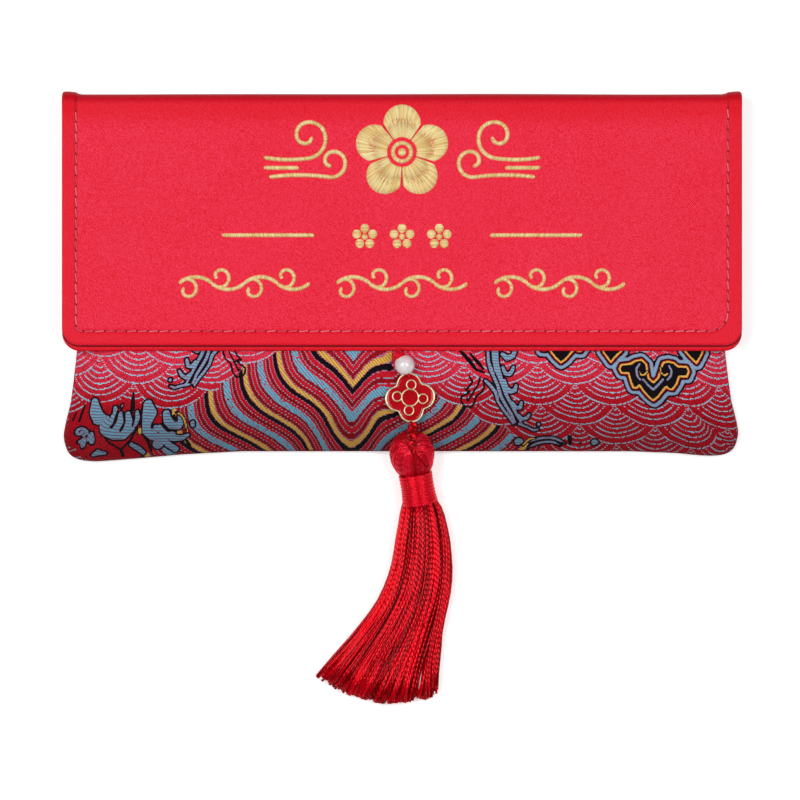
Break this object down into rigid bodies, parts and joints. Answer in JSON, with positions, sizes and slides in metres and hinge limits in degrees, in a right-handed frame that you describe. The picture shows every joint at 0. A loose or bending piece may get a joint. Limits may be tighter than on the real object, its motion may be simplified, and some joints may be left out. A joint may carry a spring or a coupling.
{
  "type": "gift-money envelope",
  "caption": "Padded brocade pouch for banknotes with a satin fold-over flap, hidden magnets and a pendant of bead, enamelled charm and yarn tassel.",
  "frame": {"origin": "middle of the flat back on which the envelope lies, midway between the fold and the pouch's bottom edge", "axes": "+X to the right across the envelope, +Y from the pouch's bottom edge to the fold, +Z out of the front with the flap"},
  "size_m": [0.19, 0.1714, 0.0137],
  "materials": {
    "brocade": "woven jacquard with blue, black and gold figures",
    "padding": "thin wadding",
    "pouch_lining": "plain weave",
    "magnet": "plated disc",
    "satin": "satin twill",
    "satin_lining": "satin twill",
    "board": "plain grey board",
    "gold_thread": "satin-stitched metallic thread",
    "red_cord": "braided cord",
    "pearl": "pearl lacquer",
    "gilt": "polished pale gilt",
    "enamel": "glossy enamel",
    "tassel_yarn": "lustrous rayon yarn",
    "wrap_thread": "wound thread"
  },
  "bodies": {
    "pouch": {"back_panel": "brocade", "back_padding": "padding", "back_lining": "pouch_lining", "front_panel": "brocade", "front_padding": "padding", "front_lining": "pouch_lining", "pouch_magnet": "magnet"},
    "spine": {"spine_face": "satin", "spine_lining": "satin_lining"},
    "flap": {"flap_face": "satin", "flap_board": "board", "flap_lining": "satin_lining", "flap_magnet": "magnet", "gold_blossom": "gold_thread", "gold_clouds": "gold_thread", "gold_rules": "gold_thread", "gold_sprigs": "gold_thread", "gold_vines": "gold_thread", "cord_anchor": "red_cord"},
    "hanger": {"hanger_cord": "red_cord"},
    "bead": {"pearl_bead": "pearl"},
    "charm": {"charm_frame": "gilt", "charm_enamel": "enamel", "charm_ornament": "gilt"},
    "tassel": {"tassel_cord": "red_cord", "tassel_head": "tassel_yarn", "neck_winding": "wrap_thread", "tassel_skirt": "tassel_yarn"}
  },
  "joints": [
    {"name": "back_fold", "type": "hinge", "parent": "pouch", "child": "spine", "pos_m": [0, 0.05, 0.0007], "axis": [-1, 0, 0], "range_deg": [0, 85]},
    {"name": "flap_fold", "type": "hinge", "parent": "spine", "child": "flap", "pos_m": [0, 0.05, 0.00935], "axis": [-1, 0, 0], "range_deg": [0, 85]},
    {"name": "pendant_lift", "type": "hinge", "parent": "flap", "child": "hanger", "pos_m": [-0.00084, -0.02169, 0.0109], "axis": [-1, 0, 0], "range_deg": [0, 150]},
    {"name": "bead_spin", "type": "hinge", "parent": "hanger", "child": "bead", "pos_m": [0.00075, -0.0259, 0.0109], "axis": [0.3542, -0.9352, 0], "continuous": true},
    {"name": "charm_swing", "type": "hinge", "parent": "hanger", "child": "charm", "pos_m": [0.002, -0.0292, 0.009], "axis": [0, 0, 1], "range_deg": [-12, 12]},
    {"name": "tassel_swing", "type": "hinge", "parent": "charm", "child": "tassel", "pos_m": [0.00321, -0.04305, 0.009], "axis": [0, 0, 1], "range_deg": [-22, 22]}
  ],
  "couplings": [
    {"joint": "back_fold", "follows": "flap_fold", "ratio": 1}
  ]
}
